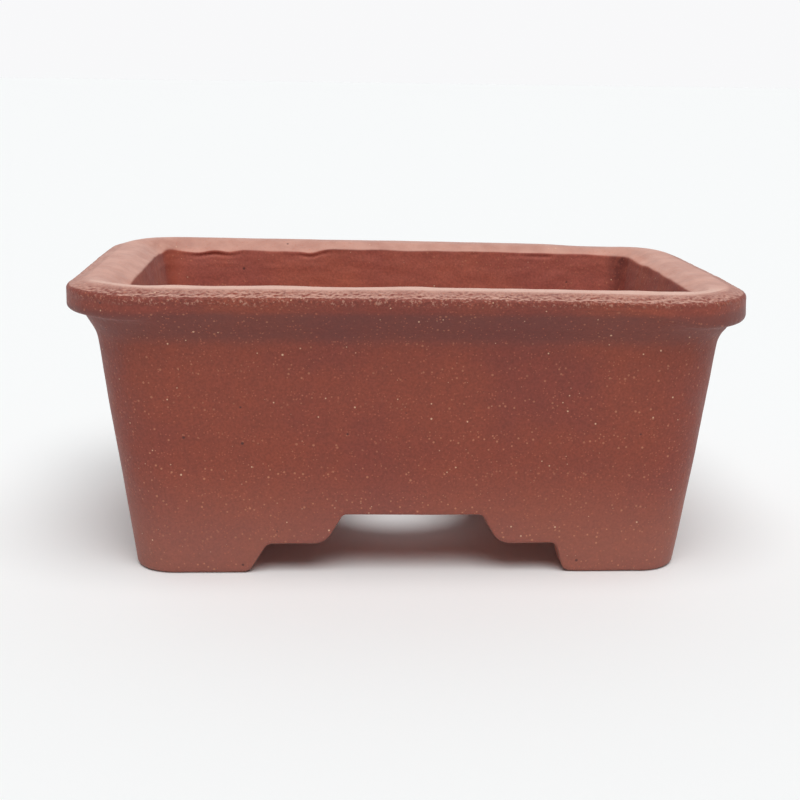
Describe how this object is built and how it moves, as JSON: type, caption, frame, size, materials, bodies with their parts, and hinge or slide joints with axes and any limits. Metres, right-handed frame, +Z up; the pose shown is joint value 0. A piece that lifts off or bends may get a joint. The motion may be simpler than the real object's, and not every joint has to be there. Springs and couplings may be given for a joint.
{
  "type": "bonsai pot",
  "caption": "Small rectangular bonsai pot in unglazed red-brown clay, with a projecting rim band, hollow neck, tapering walls and stepped openings between corner feet.",
  "frame": {"origin": "on the ground under the middle of the pot", "axes": "+X along the long side, +Z up, front wall towards -Y"},
  "size_m": [0.12, 0.082, 0.052],
  "materials": {
    "clay": "unglazed matt stoneware, red-brown, with fine pale and orange grog specks"
  },
  "bodies": {
    "root": {"floor_slab": "clay", "front_wall": "clay", "back_wall": "clay", "left_wall": "clay", "right_wall": "clay", "rim_front": "clay", "rim_back": "clay", "rim_left": "clay", "rim_right": "clay", "floor_coil_front": "clay", "floor_coil_back": "clay", "floor_coil_left": "clay", "floor_coil_right": "clay", "corner_coil_front_left": "clay", "corner_coil_front_right": "clay", "corner_coil_back_left": "clay", "corner_coil_back_right": "clay"}
  },
  "joints": []
}
